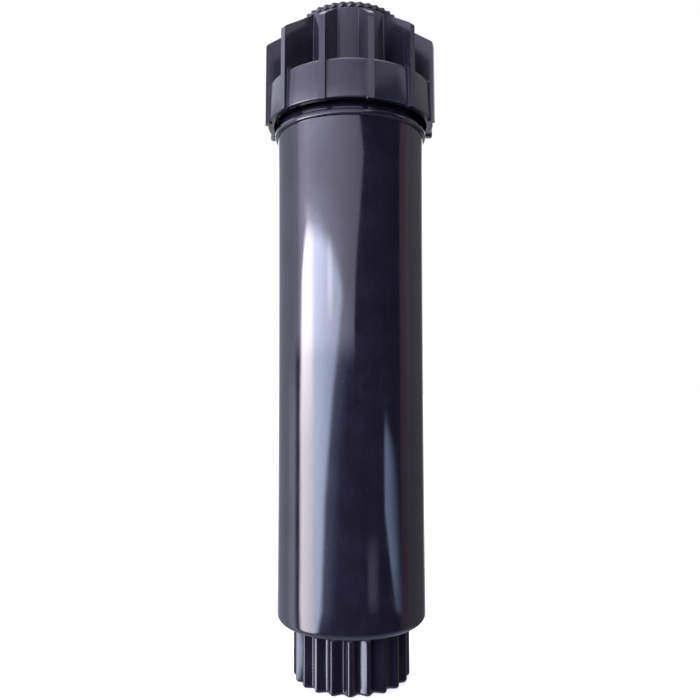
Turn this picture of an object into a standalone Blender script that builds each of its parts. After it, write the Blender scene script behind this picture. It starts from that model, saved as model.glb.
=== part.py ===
"""Pop-up spray sprinkler with an adjustable-arc nozzle, retracted.

Metres, +Z up. The sprinkler's axis is the Z axis, and z = 0 is the inlet's end face, on which it stands.
Every round piece turns or slides on the Z axis, so each object's origin lies on it.
"""

import math

import bmesh
import bpy
from mathutils import Matrix, Vector

MM = 0.001

# ---- driving dimensions, in millimetres ------------------------------------------------------------
GAP = 0.3  # between pieces that touch on the real object

# case body
TUBE_R = 20.0
TUBE_WALL = 1.9
COLLAR_CREST_R = 15.6
COLLAR_VALLEY_R = 14.15
COLLAR_FOOT = (0.45, 0.978)  # height of the flutes' lead-in, and how far it draws in
COLLAR_FLUTES = 21
COLLAR_PHASE = -91.2  # world angle of one flute crest, degrees
UNDERSIDE_Z = 14.9  # the tube's flat underside, round the collar
SHOULDER_ROUND = 1.9
BEAD_R = 21.0
BEAD_Z = (146.0, 147.6)
CASE_TOP_Z = 155.6
INLET_MAJOR_R = 10.5  # 1/2 inch female pipe thread
INLET_MINOR_R = 9.35
INLET_PITCH = 1.814
INLET_DEPTH = 13.6
WATERWAY_R = 8.0
FLOOR_Z = 17.0
RIB_COUNT = 6
RIB_DEPTH = 1.1
RIB_WIDTH = 1.6
RIB_TOP_Z = 149.5

# cap thread: a right-hand thread, so turning the cap counter-clockwise lifts it
CAP_PITCH = 4.0
CASE_THREAD_ROOT_R = 19.9
CASE_THREAD_CREST_R = 20.9
CAP_THREAD_ROOT_R = 21.35
CAP_THREAD_CREST_R = 20.3
CASE_THREAD_Z0 = 149.9
CAP_THREAD_Z0 = 151.9
THREAD_TURNS = 1.1
THREAD_BASE_W = 1.7
THREAD_TIP_W = 0.9

# cap
RIM_Z = 149.45
SKIRT_R = 23.05
SKIRT_TOP_R = 22.8
SKIRT_TOP_Z = 159.95
PLATE_UNDER_Z = 158.3
COLUMN_R = 14.4  # at its foot; it drafts in to the lip
COLUMN_LIP_R = 13.95
COLUMN_TOP_Z = 177.5
SEAL_BORE_R = 9.9
CUP_R = 10.2
CUP_FLOOR_Z = 169.1
CAP_HOLE_R = 8.5
LIP_THICK = 1.4
FINS = 12
FIN_PHASE = 12.6  # world angle of one fin, degrees
FIN_THICK = 1.6
FIN_R = 23.9
FIN_TOP_R = 23.75
FIN_FOOT_Z = 149.05
FIN_TOP_Z = 170.5
FIN_INNER_TOP_Z = 177.4

# riser
STEM_R = 8.0
STEM_BORE_R = 6.6
STEM_FOOT_Z = 21.5
STEM_TOP_Z = 172.9
NOZZLE_PITCH = 1.6
RATCHET_TEETH = 12

# spring
SPRING_R = 11.6
WIRE_R = 0.65
SPRING_Z = (35.6, 155.3)
SPRING_TURNS = 12.5

# nozzle
KNURLS = 36
KNURL_PHASE = -88.7  # world angle of one knurl crest, degrees
RING_R = 13.9
RING_VALLEY_R = 13.25
RING_Z = (177.8, 179.1)
DEFLECTOR_R = 9.8
DEFLECTOR_Z = (179.4, 180.5)
NOZZLE_TOP_Z = 177.5

for leftover in list(bpy.data.objects):
    bpy.data.objects.remove(leftover, do_unlink=True)

parts = bpy.data.collections.new("pop_up_sprinkler")
cutters = bpy.data.collections.new("cutters")
bpy.context.scene.collection.children.link(parts)
bpy.context.scene.collection.children.link(cutters)
cutters.hide_render = True


def material(name, colour, roughness, metallic=0.0):
    made = bpy.data.materials.new(name)
    made.use_nodes = True
    shader = made.node_tree.nodes["Principled BSDF"]
    shader.inputs["Base Color"].default_value = (*colour, 1.0)
    shader.inputs["Roughness"].default_value = roughness
    shader.inputs["Metallic"].default_value = metallic
    made.diffuse_color = (*colour, 1.0)
    return made


def empty(name, parent=None):
    made = bpy.data.objects.new(name, None)
    parts.objects.link(made)
    made.parent = parent
    return made


frame = empty("sprinkler_frame")
lift_axis = empty("cap_lift_axis", frame)
cap_axis = empty("cap_turn_axis", lift_axis)
pop_axis = empty("riser_pop_axis", lift_axis)
stem_axis = empty("riser_turn_axis", pop_axis)
arc_axis = empty("arc_adjust_axis", stem_axis)
screw_axis = empty("radius_screw_axis", stem_axis)
nut_axis = empty("throttle_axis", stem_axis)


def place(mesh, name, z0, parent, mat=None, helper=False):
    """An object whose mesh is given in millimetres about the height z0 on the Z axis."""
    mesh.transform(Matrix.Scale(MM, 4))
    made = bpy.data.objects.new(name, mesh)
    (cutters if helper else parts).objects.link(made)
    made.location = (0.0, 0.0, z0 * MM)
    made.parent = parent
    if helper:
        made.hide_render = True
        made.display_type = "WIRE"
    if mat:
        mesh.materials.append(mat)
    return made


def profile_mesh(name, points, z0):
    """A closed outline in the XZ plane: down the outer side, then up the inner one."""
    mesh = bpy.data.meshes.new(name)
    count = len(points)
    mesh.from_pydata(
        [(r, 0.0, z - z0) for r, z in points],
        [(i, (i + 1) % count) for i in range(count)],
        [],
    )
    return mesh


def turned(name, points, z0, parent, mat, steps=48, helper=False):
    made = place(profile_mesh(name, points, z0), name, z0, parent, mat, helper)
    screw = made.modifiers.new("turn", "SCREW")
    screw.axis = "Z"
    screw.angle = 2 * math.pi
    screw.steps = screw.render_steps = steps
    screw.use_merge_vertices = True
    screw.merge_threshold = 0.00001
    screw.use_smooth_shade = True
    return made


def helix_ridge(name, embed_r, tip_r, z_start, pitch, turns, base_w, tip_w, steps, parent, start=0.0):
    """A screw thread's ridge, swept round the axis with the Screw modifier and capped at both ends."""
    out = tip_r > embed_r
    loop = [
        (embed_r, z_start + base_w / 2),
        (tip_r, z_start + tip_w / 2),
        (tip_r, z_start - tip_w / 2),
        (embed_r, z_start - base_w / 2),
    ]
    if not out:
        loop.reverse()
    seed = place(profile_mesh(name + "_seed", loop, 0.0), name + "_seed", 0.0, None, helper=True)
    screw = seed.modifiers.new("helix", "SCREW")
    screw.axis = "Z"
    screw.angle = 2 * math.pi * turns
    screw.screw_offset = pitch * turns * MM
    screw.steps = screw.render_steps = max(3, round(steps * turns))
    bpy.context.view_layer.update()
    graph = bpy.context.evaluated_depsgraph_get()
    mesh = bpy.data.meshes.new_from_object(seed.evaluated_get(graph))
    bpy.data.objects.remove(seed, do_unlink=True)
    shape = bmesh.new()
    shape.from_mesh(mesh)
    bmesh.ops.remove_doubles(shape, verts=shape.verts, dist=0.000001)
    bmesh.ops.holes_fill(shape, edges=[e for e in shape.edges if e.is_boundary], sides=0)
    bmesh.ops.rotate(shape, verts=shape.verts, matrix=Matrix.Rotation(math.radians(start), 3, "Z"))
    bmesh.ops.recalc_face_normals(shape, faces=shape.faces)
    shape.to_mesh(mesh)
    shape.free()
    made = bpy.data.objects.new(name, mesh)
    cutters.objects.link(made)
    made.parent = parent
    made.hide_render = True
    made.display_type = "WIRE"
    return made


def boolean(target, other, operation):
    cut = target.modifiers.new(operation.lower() + "_" + other.name, "BOOLEAN")
    cut.operation = operation
    cut.solver = "EXACT"
    cut.object = other
    return cut


def prism(name, outline, levels, z0, parent, mat=None, helper=True):
    """An outline in the XY plane, carried up through levels of (height, scale)."""
    shape = bmesh.new()
    rings = [
        [shape.verts.new((x * scale, y * scale, height - z0)) for x, y in outline]
        for height, scale in levels
    ]
    shape.faces.new(rings[0])
    shape.faces.new(rings[-1])
    count = len(outline)
    for low, high in zip(rings, rings[1:]):
        for k in range(count):
            shape.faces.new((low[k], low[(k + 1) % count], high[(k + 1) % count], high[k]))
    bmesh.ops.recalc_face_normals(shape, faces=shape.faces)
    mesh = bpy.data.meshes.new(name)
    shape.to_mesh(mesh)
    shape.free()
    return place(mesh, name, z0, parent, mat, helper)


def spokes(name, outline_rz, thick, count, phase, z0, parent):
    """Flat plates that stand on radii: an (r, z) outline given a thickness and repeated round the axis."""
    shape = bmesh.new()
    for k in range(count):
        before = set(shape.verts)
        face = shape.faces.new(
            [shape.verts.new((r, -thick / 2, z - z0)) for r, z in outline_rz]
        )
        raised = bmesh.ops.extrude_face_region(shape, geom=[face])
        bmesh.ops.translate(
            shape,
            verts=[v for v in raised["geom"] if isinstance(v, bmesh.types.BMVert)],
            vec=(0.0, thick, 0.0),
        )
        bmesh.ops.rotate(
            shape,
            verts=[v for v in shape.verts if v not in before],
            matrix=Matrix.Rotation(math.radians(phase + 360.0 * k / count), 3, "Z"),
        )
    bmesh.ops.recalc_face_normals(shape, faces=shape.faces)
    mesh = bpy.data.meshes.new(name)
    shape.to_mesh(mesh)
    shape.free()
    return place(mesh, name, z0, parent, None, True)


def pegs(name, radius, at_r, count, phase, z_low, z_high, parent, sides=12):
    """Round cutters that stand in a ring."""
    shape = bmesh.new()
    for k in range(count):
        turn = math.radians(phase + 360.0 * k / count)
        bmesh.ops.create_cone(
            shape,
            cap_ends=True,
            segments=sides,
            radius1=radius,
            radius2=radius,
            depth=z_high - z_low,
            matrix=Matrix.Translation(
                (at_r * math.cos(turn), at_r * math.sin(turn), (z_low + z_high) / 2)
            ),
        )
    mesh = bpy.data.meshes.new(name)
    shape.to_mesh(mesh)
    shape.free()
    return place(mesh, name, 0.0, parent, None, True)


def circle(radius, sides):
    return [
        (radius * math.cos(2 * math.pi * k / sides), radius * math.sin(2 * math.pi * k / sides))
        for k in range(sides)
    ]


def fluted_outline(crest, valley, count, phase, flat=0.07):
    """A round outline cut into V-shaped flutes, each with a narrow flat at its crest and in its valley."""
    points = []
    for k in range(count):
        for share, radius in ((-flat, crest), (flat, crest), (0.5 - flat, valley), (0.5 + flat, valley)):
            turn = math.radians(phase + 360.0 * (k + share) / count)
            points.append((radius * math.cos(turn), radius * math.sin(turn)))
    return points


def arc_points(cx, cz, radius, a0, a1, steps):
    return [
        (
            cx + radius * math.cos(math.radians(a0 + (a1 - a0) * i / steps)),
            cz + radius * math.sin(math.radians(a0 + (a1 - a0) * i / steps)),
        )
        for i in range(steps + 1)
    ]


def smooth(objects, degrees=30.0):
    for made in objects:
        if made.type == "MESH":
            made.data.shade_smooth()
            made.data.set_sharp_from_angle(angle=math.radians(degrees))


black = (0.028, 0.027, 0.036)

# ---- case body ---------------------------------------------------------------------------------------
inner_r = TUBE_R - TUBE_WALL
case_outline = [
    (CASE_THREAD_ROOT_R - 0.35, CASE_TOP_Z),
    (CASE_THREAD_ROOT_R, CASE_TOP_Z - 0.35),
    (CASE_THREAD_ROOT_R, BEAD_Z[1]),
    (BEAD_R - 0.35, BEAD_Z[1]),
    (BEAD_R, BEAD_Z[1] - 0.35),
    (BEAD_R, BEAD_Z[0] + 0.35),
    (BEAD_R - 0.35, BEAD_Z[0]),
    (TUBE_R, BEAD_Z[0]),
    *arc_points(TUBE_R - SHOULDER_ROUND, UNDERSIDE_Z + SHOULDER_ROUND, SHOULDER_ROUND, 0, -90, 3),
    (COLLAR_VALLEY_R - 0.6, UNDERSIDE_Z),
    (COLLAR_VALLEY_R - 0.6, 0.5),
    (INLET_MAJOR_R + 0.3, 0.5),
    (INLET_MAJOR_R, 0.9),
    (INLET_MAJOR_R, INLET_DEPTH),
    (WATERWAY_R, INLET_DEPTH),
    (WATERWAY_R, FLOOR_Z),
    (inner_r - 1.6, FLOOR_Z),
    (inner_r, FLOOR_Z + 1.6),
    (inner_r, CASE_TOP_Z),
]
case_body = turned(
    "case_body", case_outline, 0.0, frame, material("case_plastic", black, 0.2)
)
collar = prism(
    "collar_flutes",
    fluted_outline(COLLAR_CREST_R, COLLAR_VALLEY_R, COLLAR_FLUTES, COLLAR_PHASE),
    [(0.0, COLLAR_FOOT[1]), (COLLAR_FOOT[0], 1.0), (UNDERSIDE_Z + 0.6, 1.0)],
    0.0,
    frame,
)
collar_bore = prism(
    "collar_bore", circle(11.5, 36), [(-1.0, 1.0), (UNDERSIDE_Z + 2.0, 1.0)], 0.0, frame
)
boolean(collar, collar_bore, "DIFFERENCE")
boolean(case_body, collar, "UNION")
case_thread = helix_ridge(
    "case_thread_ridge", CASE_THREAD_ROOT_R - 0.3, CASE_THREAD_CREST_R, CASE_THREAD_Z0, CAP_PITCH,
    THREAD_TURNS, THREAD_BASE_W + 0.24, THREAD_TIP_W, 28, frame, 3.0,
)
boolean(case_body, case_thread, "UNION")
inlet_thread = helix_ridge(
    "inlet_thread_ridge", INLET_MAJOR_R + 0.3, INLET_MINOR_R, 1.9, INLET_PITCH,
    4.5, 1.45, 0.3, 14, frame, 5.0,
)
boolean(case_body, inlet_thread, "UNION")
guide_ribs = spokes(
    "guide_ribs",
    [
        (inner_r + 0.5, FLOOR_Z + 4.0),
        (inner_r + 0.5, RIB_TOP_Z),
        (inner_r - RIB_DEPTH, RIB_TOP_Z - 2.0),
        (inner_r - RIB_DEPTH, FLOOR_Z + 4.0),
    ],
    RIB_WIDTH,
    RIB_COUNT,
    30.0,
    0.0,
    frame,
)
boolean(case_body, guide_ribs, "UNION")

# ---- cap ---------------------------------------------------------------------------------------------
cap_outline = (
    [(COLUMN_LIP_R - 0.3, COLUMN_TOP_Z), (COLUMN_LIP_R - 0.05, COLUMN_TOP_Z - 0.25)]
    + [
        (COLUMN_R, SKIRT_TOP_Z + 0.5),
        (COLUMN_R + 0.5, SKIRT_TOP_Z),
        (SKIRT_TOP_R - 1.1, SKIRT_TOP_Z),
        (SKIRT_TOP_R - 0.33, SKIRT_TOP_Z - 0.33),
        (SKIRT_TOP_R, SKIRT_TOP_Z - 1.1),
        (SKIRT_R, RIM_Z + 0.2),
        (SKIRT_R - 0.2, RIM_Z),
        (CAP_THREAD_ROOT_R + 0.3, RIM_Z),
        (CAP_THREAD_ROOT_R, RIM_Z + 0.5),
        (CAP_THREAD_ROOT_R, PLATE_UNDER_Z),
        (SEAL_BORE_R, PLATE_UNDER_Z),
        (SEAL_BORE_R, CUP_FLOOR_Z - LIP_THICK),
        (CAP_HOLE_R, CUP_FLOOR_Z - LIP_THICK),
        (CAP_HOLE_R, CUP_FLOOR_Z),
        (CUP_R, CUP_FLOOR_Z),
        (CUP_R, COLUMN_TOP_Z - 0.5),
        (CUP_R + 0.5, COLUMN_TOP_Z),
    ]
)
cap = turned("cap", cap_outline, RIM_Z, cap_axis, material("cap_plastic", black, 0.32))
fins = spokes(
    "cap_fins",
    [
        (22.1, FIN_FOOT_Z),
        (FIN_R, FIN_FOOT_Z),
        (FIN_TOP_R, FIN_TOP_Z),
        (FIN_TOP_R - 0.45, FIN_TOP_Z + 0.75),
        (COLUMN_LIP_R - 0.15, FIN_INNER_TOP_Z),
        (12.0, FIN_INNER_TOP_Z),
        (12.0, 159.0),
        (22.1, 159.0),
    ],
    FIN_THICK,
    FINS,
    FIN_PHASE,
    RIM_Z,
    cap_axis,
)
boolean(cap, fins, "UNION")
cap_thread = helix_ridge(
    "cap_thread_ridge", CAP_THREAD_ROOT_R + 0.3, CAP_THREAD_CREST_R, CAP_THREAD_Z0, CAP_PITCH,
    THREAD_TURNS, THREAD_BASE_W + 0.24, THREAD_TIP_W, 28, cap_axis, 3.0,
)
boolean(cap, cap_thread, "UNION")

# ---- seal pack: lifts with the cap, and stays still while the cap turns ----------------------------------
wiper_seal = turned(
    "wiper_seal",
    [
        (9.5, 167.4),
        (9.6, 167.0),
        (9.6, 163.3),
        (9.5, 162.9),
        (8.6, 162.9),
        (8.3, 163.3),
        (8.8, 164.1),
        (8.8, 166.2),
        (8.3, 167.0),
        (8.55, 167.4),
    ],
    162.9,
    lift_axis,
    material("seal_rubber", (0.012, 0.012, 0.013), 0.6),
    20,
)
seal_retainer = turned(
    "seal_retainer",
    [
        (9.3, 162.6),
        (9.55, 162.3),
        (9.55, 158.0),
        (19.6, 158.0),
        (19.6, 156.9),
        (17.7, 156.9),
        (17.7, 152.4),
        (17.4, 152.0),
        (16.5, 152.0),
        (16.5, 156.9),
        (8.4, 156.9),
        (8.4, 162.6),
    ],
    156.9,
    lift_axis,
    material("retainer_plastic", (0.05, 0.05, 0.055), 0.4),
    24,
)
cap_gasket = turned(
    "cap_gasket",
    [(19.5, 156.6), (19.5, 155.9), (18.2, 155.9), (18.2, 156.6)],
    155.9,
    lift_axis,
    material("gasket_rubber", (0.012, 0.012, 0.013), 0.65),
    24,
)
upper_spring_washer = turned(
    "upper_spring_washer",
    [(14.2, 156.6), (14.2, 155.6), (9.0, 155.6), (9.0, 156.6)],
    155.6,
    lift_axis,
    material("upper_washer_acetal", (0.72, 0.72, 0.69), 0.45),
    20,
)

# ---- riser: spring, guide and ratchet ------------------------------------------------------------------


def spring_curve():
    """The coil: a closed turn at each end and an even pitch between."""
    data = bpy.data.curves.new("retract_spring", "CURVE")
    data.dimensions = "3D"
    data.bevel_depth = WIRE_R * MM
    data.bevel_resolution = 1
    data.use_fill_caps = True
    low, high = SPRING_Z[0] + WIRE_R, SPRING_Z[1] - WIRE_R
    per_turn = 8
    count = round(SPRING_TURNS * per_turn) + 1
    closed = 2 * WIRE_R + 0.15  # rise of each end turn
    pitch = (high - low - 2 * closed) / (SPRING_TURNS - 2)
    points = []
    for i in range(count):
        turns = i / per_turn
        first = min(turns, 1.0)
        last = max(0.0, turns - (SPRING_TURNS - 1.0))
        middle = turns - first - last
        z = low + closed * first + pitch * middle + closed * last
        turn = 2 * math.pi * turns
        points.append((SPRING_R * math.cos(turn), SPRING_R * math.sin(turn), z - low))
    spline = data.splines.new("POLY")
    spline.points.add(len(points) - 1)
    for point, (x, y, z) in zip(spline.points, points):
        point.co = (x * MM, y * MM, z * MM, 1.0)
    made = bpy.data.objects.new("retract_spring", data)
    parts.objects.link(made)
    made.location = (0.0, 0.0, low * MM)
    made.parent = lift_axis
    data.materials.append(material("spring_steel", (0.62, 0.62, 0.6), 0.28, 1.0))
    return made


retract_spring = spring_curve()
lower_spring_washer = turned(
    "lower_spring_washer",
    [(14.2, 35.3), (14.2, 34.3), (8.4, 34.3), (8.4, 35.3)],
    34.3,
    pop_axis,
    material("lower_washer_acetal", (0.72, 0.72, 0.69), 0.45),
    20,
)


def teeth(name, r_in, r_out, z_base, z_tip, count, parent, up=True):
    """A ring of saw-shaped ratchet teeth: each rises along a ramp and drops straight."""
    shape = bmesh.new()
    for k in range(count):
        a0 = 2 * math.pi * k / count
        a1 = 2 * math.pi * (k + 0.92) / count
        sink = -0.4 if up else 0.4
        corners = []
        for radius in (r_in, r_out):
            corners.append(
                [
                    shape.verts.new((radius * math.cos(a0), radius * math.sin(a0), z_base + sink)),
                    shape.verts.new((radius * math.cos(a1), radius * math.sin(a1), z_base + sink)),
                    shape.verts.new((radius * math.cos(a1), radius * math.sin(a1), z_tip)),
                ]
            )
        bmesh.ops.convex_hull(shape, input=corners[0] + corners[1])
    bmesh.ops.recalc_face_normals(shape, faces=shape.faces)
    mesh = bpy.data.meshes.new(name)
    shape.to_mesh(mesh)
    shape.free()
    return place(mesh, name, 0.0, parent, None, True)


ratchet_guide = turned(
    "ratchet_guide",
    [
        (17.2, 34.0),
        (17.6, 33.6),
        (17.6, 28.6),
        (17.2, 28.2),
        (16.0, 28.2),
        (16.0, 31.6),
        (13.0, 31.6),
        (13.0, 29.6),
        (8.5, 29.6),
        (8.5, 34.0),
    ],
    29.6,
    pop_axis,
    material("guide_acetal", (0.75, 0.75, 0.72), 0.45),
    24,
)
guide_notches = spokes(
    "guide_notches",
    [(16.6, 27.0), (19.0, 27.0), (19.0, 36.0), (16.6, 36.0)],
    RIB_WIDTH + 0.8,
    RIB_COUNT,
    30.0,
    0.0,
    pop_axis,
)
boolean(ratchet_guide, guide_notches, "DIFFERENCE")
guide_teeth = teeth("guide_teeth", 9.0, 12.6, 29.6, 28.75, RATCHET_TEETH, pop_axis, up=False)
boolean(ratchet_guide, guide_teeth, "UNION")

riser_ratchet = turned(
    "riser_ratchet",
    [
        (12.6, 27.6),
        (12.9, 27.3),
        (12.9, 23.6),
        (12.6, 23.3),
        (8.35, 23.3),
        (8.35, 27.6),
    ],
    23.3,
    stem_axis,
    material("ratchet_acetal", (0.75, 0.75, 0.72), 0.45),
    24,
)
lower_teeth = teeth("ratchet_teeth", 9.0, 12.5, 27.6, 28.4, RATCHET_TEETH, stem_axis, up=True)
boolean(riser_ratchet, lower_teeth, "UNION")

riser_stem = turned(
    "riser_stem",
    [
        (7.1, STEM_TOP_Z),
        (7.35, STEM_TOP_Z - 0.3),
        (7.35, CUP_FLOOR_Z + 0.2),
        (STEM_R, CUP_FLOOR_Z - 0.4),
        (STEM_R, 23.0),
        (10.6, 23.0),
        (10.6, STEM_FOOT_Z + 0.4),
        (10.2, STEM_FOOT_Z),
        (STEM_BORE_R + 0.3, STEM_FOOT_Z),
        (STEM_BORE_R, STEM_FOOT_Z + 0.6),
        (STEM_BORE_R, STEM_TOP_Z),
    ],
    STEM_FOOT_Z,
    stem_axis,
    material("riser_plastic", black, 0.25),
    24,
)
stem_thread = helix_ridge(
    "stem_thread_ridge", 7.1, 7.95, 170.1, NOZZLE_PITCH, 1.3, 0.66, 0.36, 16, stem_axis, 4.0
)
boolean(riser_stem, stem_thread, "UNION")

# ---- filter ------------------------------------------------------------------------------------------
filter_frame = turned(
    "filter_frame",
    [
        (7.6, 173.9),
        (7.6, 173.2),
        (6.25, 173.2),
        (6.1, 171.5),
        (6.0, 140.9),
        (5.6, 140.5),
        (3.0, 140.5),
        (3.0, 141.5),
        (5.45, 141.5),
        (5.5, 172.1),
        (3.4, 172.1),
        (3.4, 173.9),
    ],
    140.5,
    stem_axis,
    material("filter_plastic", (0.03, 0.03, 0.034), 0.45),
    20,
)
windows = spokes(
    "filter_windows",
    [(5.0, 143.5), (7.0, 143.5), (7.0, 170.7), (5.0, 170.7)],
    4.6,
    4,
    0.0,
    0.0,
    stem_axis,
)
boolean(filter_frame, windows, "DIFFERENCE")
filter_screen = turned(
    "filter_screen",
    [(5.15, 163.5), (5.15, 141.8), (4.75, 141.8), (4.75, 163.5)],
    141.8,
    stem_axis,
    material("screen_mesh", (0.45, 0.46, 0.47), 0.4, 0.6),
    20,
)
throttle_nut = turned(
    "throttle_nut",
    [(2.6, 168.5), (4.4, 167.4), (4.4, 165.9), (1.85, 165.9), (1.85, 168.5)],
    165.9,
    nut_axis,
    material("throttle_acetal", (0.75, 0.75, 0.72), 0.45),
    16,
)
nut_keys = spokes(
    "nut_keys",
    [(3.6, 165.9), (5.75, 165.9), (5.75, 167.2), (3.6, 167.2)],
    2.0,
    2,
    0.0,
    165.9,
    nut_axis,
)
boolean(throttle_nut, nut_keys, "UNION")

# ---- nozzle ------------------------------------------------------------------------------------------
nozzle_washer = turned(
    "nozzle_washer",
    [(7.9, 174.8), (7.9, 174.2), (6.3, 174.2), (6.3, 174.8)],
    174.2,
    stem_axis,
    material("nozzle_washer_rubber", (0.012, 0.012, 0.013), 0.65),
    20,
)
nozzle_base = turned(
    "nozzle_base",
    [
        (7.7, 177.5),
        (7.7, 176.3),
        (9.1, 176.3),
        (9.1, 177.5),
        (9.7, 177.5),
        (9.9, 177.3),
        (9.9, 169.7),
        (9.6, 169.4),
        (8.5, 169.4),
        (8.35, 169.6),
        (8.35, 175.1),
        (3.3, 175.1),
        (3.3, 177.5),
    ],
    169.4,
    stem_axis,
    material("nozzle_plastic", (0.03, 0.03, 0.034), 0.4),
    24,
)
base_thread = helix_ridge(
    "nozzle_thread_ridge", 8.65, 7.8, 170.9, NOZZLE_PITCH, 1.3, 0.66, 0.36, 16, stem_axis, 4.0
)
boolean(nozzle_base, base_thread, "UNION")
orifices = pegs("nozzle_orifices", 0.85, 4.7, 6, 10.0, 174.5, 178.5, stem_axis, 6)
boolean(nozzle_base, orifices, "DIFFERENCE")

collar_o_ring = turned(
    "collar_o_ring",
    [
        (8.4 + 0.4 * math.cos(-2 * math.pi * k / 8 + math.pi / 2), 177.05 + 0.4 * math.sin(-2 * math.pi * k / 8 + math.pi / 2))
        for k in range(8)
    ],
    177.05,
    arc_axis,
    material("o_ring_rubber", (0.012, 0.012, 0.013), 0.6),
    20,
)


def knurl_outline():
    points = []
    per = 4
    for k in range(KNURLS * per):
        share = (k % per) / per
        off = min(share, 1 - share) * 2
        radius = RING_R - (RING_R - RING_VALLEY_R) * (0.0 if off < 0.3 else (1.0 if off > 0.7 else 0.5))
        turn = math.radians(KNURL_PHASE + 360.0 * k / (KNURLS * per))
        points.append((radius * math.cos(turn), radius * math.sin(turn)))
    return points


arc_collar = prism(
    "arc_collar",
    knurl_outline(),
    [(RING_Z[0], 1.0), (RING_Z[1], 1.0)],
    RING_Z[0],
    arc_axis,
    material("collar_plastic", (0.035, 0.034, 0.042), 0.4),
    helper=False,
)
collar_hole = prism(
    "collar_hole",
    circle(6.2, 28),
    [(RING_Z[0] - 1.0, 1.0), (RING_Z[1] + 1.0, 1.0)],
    RING_Z[0],
    arc_axis,
)
boolean(arc_collar, collar_hole, "DIFFERENCE")
index_mark = prism(
    "collar_index",
    [(10.4, -0.3), (13.0, -0.3), (13.0, 0.3), (10.4, 0.3)],
    [(RING_Z[1] - 0.3, 1.0), (RING_Z[1] + 0.3, 1.0)],
    RING_Z[0],
    arc_axis,
)
boolean(arc_collar, index_mark, "UNION")

deflector = turned(
    "deflector",
    [
        (2.75, DEFLECTOR_Z[1]),
        (7.0, DEFLECTOR_Z[1]),
        (9.2, DEFLECTOR_Z[1] - 0.2),
        (DEFLECTOR_R, DEFLECTOR_Z[1] - 0.55),
        (DEFLECTOR_R - 0.1, DEFLECTOR_Z[0]),
        (6.0, DEFLECTOR_Z[0] + 0.1),
        (3.0, DEFLECTOR_Z[0] - 0.6),
        (3.0, 175.2),
        (1.8, 175.2),
        (1.8, 179.3),
        (2.75, 179.3),
    ],
    DEFLECTOR_Z[0],
    stem_axis,
    material("deflector_plastic", (0.03, 0.03, 0.034), 0.4),
    24,
)
radius_screw = turned(
    "radius_screw",
    [
        (0.4, 180.3),
        (2.1, 180.3),
        (2.4, 180.0),
        (2.4, 179.6),
        (1.5, 179.6),
        (1.5, 165.4),
        (1.1, 165.0),
        (0.4, 165.0),
    ],
    179.6,
    screw_axis,
    material("screw_steel", (0.6, 0.6, 0.58), 0.3, 1.0),
    16,
)
screw_core = prism(
    "screw_core",
    circle(0.7, 8),
    [(165.1, 1.0), (180.2, 1.0)],
    179.6,
    screw_axis,
)
boolean(radius_screw, screw_core, "UNION")
slot = prism(
    "screw_slot",
    [(-3.0, -0.35), (3.0, -0.35), (3.0, 0.35), (-3.0, 0.35)],
    [(179.85, 1.0), (181.0, 1.0)],
    179.6,
    screw_axis,
)
boolean(radius_screw, slot, "DIFFERENCE")

smooth([made for made in parts.objects if made.type == "MESH"])
bpy.context.view_layer.update()
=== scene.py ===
"""Looks for the pop-up spray sprinkler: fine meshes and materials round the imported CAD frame."""

import math

import bmesh
import bpy
import numpy as np
from mathutils import Matrix, Vector


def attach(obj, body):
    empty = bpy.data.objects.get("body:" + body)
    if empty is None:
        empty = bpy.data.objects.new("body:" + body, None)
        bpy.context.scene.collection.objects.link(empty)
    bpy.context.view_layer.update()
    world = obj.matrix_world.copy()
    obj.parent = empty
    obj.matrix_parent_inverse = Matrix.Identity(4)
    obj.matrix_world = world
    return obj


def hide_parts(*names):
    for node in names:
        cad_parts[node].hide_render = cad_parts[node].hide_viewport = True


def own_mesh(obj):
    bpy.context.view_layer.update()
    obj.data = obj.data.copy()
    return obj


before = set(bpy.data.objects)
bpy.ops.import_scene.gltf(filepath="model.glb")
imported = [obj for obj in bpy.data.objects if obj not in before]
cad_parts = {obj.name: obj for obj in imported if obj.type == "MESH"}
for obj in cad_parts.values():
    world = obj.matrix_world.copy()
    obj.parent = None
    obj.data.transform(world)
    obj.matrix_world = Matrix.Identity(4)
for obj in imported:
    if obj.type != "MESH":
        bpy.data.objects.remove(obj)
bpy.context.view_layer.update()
MM = 0.001
TAU = 2 * math.pi

# ------------------------------------------------------------------------------------------------------
# mesh tools. An outline is a list of (radius, height, fillet radius, tag) in millimetres, down the outer side
# and up the inner one. A loft turns it about the Z axis, and its shape function moves the tagged points.
# ------------------------------------------------------------------------------------------------------


def filleted(points, arc=5):
    """The closed outline as (r, z, tag), each corner rounded by its own radius."""
    count = len(points)
    full = [tuple(p) + (0.0, "")[len(p) - 2 :] if len(p) < 4 else tuple(p) for p in points]
    out = []
    for i, (r, z, radius, tag) in enumerate(full):
        here = Vector((r, z))
        before = Vector(full[i - 1][:2]) - here
        after = Vector(full[(i + 1) % count][:2]) - here
        half = before.angle(after) / 2 if before.length > 1e-6 and after.length > 1e-6 else math.pi / 2
        if radius <= 0 or half > math.radians(88):
            out.append((r, z, tag))
            continue
        reach = min(radius / math.tan(half), 0.49 * before.length, 0.49 * after.length)
        real = reach * math.tan(half)
        a, b = before.normalized(), after.normalized()
        centre = here + (a + b).normalized() * (real / math.sin(half))
        start, end = here + a * reach - centre, here + b * reach - centre
        sweep = start.angle(end)
        sign = 1 if start.x * end.y - start.y * end.x > 0 else -1
        base = math.atan2(start.y, start.x)
        steps = max(2, math.ceil(arc * sweep / (math.pi / 2)))
        for k in range(steps + 1):
            turn = base + sign * sweep * k / steps
            out.append((centre.x + real * math.cos(turn), centre.y + real * math.sin(turn), tag))
    return out


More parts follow.
